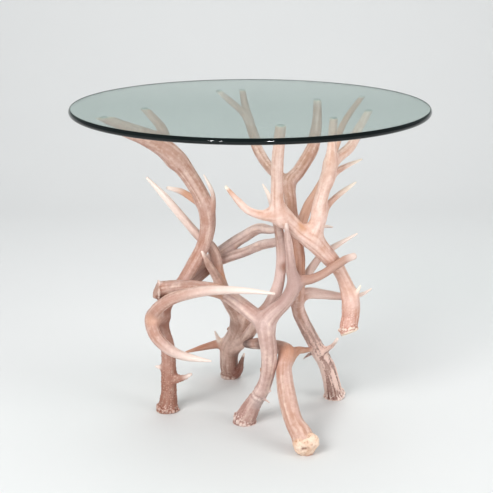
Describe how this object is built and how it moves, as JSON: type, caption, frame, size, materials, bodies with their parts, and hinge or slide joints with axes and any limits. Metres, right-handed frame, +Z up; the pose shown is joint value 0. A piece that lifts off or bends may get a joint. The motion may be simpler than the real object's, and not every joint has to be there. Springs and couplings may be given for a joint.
{
  "type": "antler end table",
  "caption": "Rustic end table: shed antlers notched and screwed together as a splayed, branching base, whose cut tine tips carry a loose round clear glass top on bumper pads.",
  "frame": {"origin": "on the floor, under the middle of the round glass top", "axes": "+Z up, +X to the right and +Y away from a viewer who stands in front of the left and front legs, as in the picture"},
  "size_m": [0.61, 0.61, 0.545],
  "materials": {
    "antler_left_leg": "natural antler: pinkish tan, brown in the grooves, satin on the ridges",
    "antler_centre_leg": "natural antler: pale pinkish grey-tan, brown and rough at the foot",
    "antler_front_leg": "natural antler: light peach, cream at the knob",
    "antler_right_leg": "natural antler: tan with dark bark-like grooves low down, cream at the tips",
    "antler_back_leg": "natural antler: brown low down, cream-white on the long polished tine",
    "antler_right_high": "natural antler: light peach, satin, with a pale cut underside",
    "antler_left_cross": "natural antler: pinkish tan, satin, with a pale cut end",
    "antler_rear_cross": "natural antler: pinkish grey-tan, satin",
    "bumper_pads": "soft clear disc",
    "screws": "dull zinc-plated steel",
    "putty": "tinted wood putty, matte",
    "top_glass": "polished clear float glass with a green edge"
  },
  "bodies": {
    "antler_base": {"left_leg_antler": "antler_left_leg", "centre_leg_antler": "antler_centre_leg", "front_leg_antler": "antler_front_leg", "right_leg_antler": "antler_right_leg", "back_leg_antler": "antler_back_leg", "right_high_antler": "antler_right_high", "left_cross_antler": "antler_left_cross", "rear_cross_antler": "antler_rear_cross", "bumper_pads": "bumper_pads", "joint_screws": "screws", "joint_plugs": "putty"},
    "glass": {"glass_top": "top_glass"}
  },
  "joints": [
    {"name": "top_lift", "type": "slide", "parent": "antler_base", "child": "glass", "axis": [0, 0, 1], "range_m": [0, 0.1]}
  ]
}
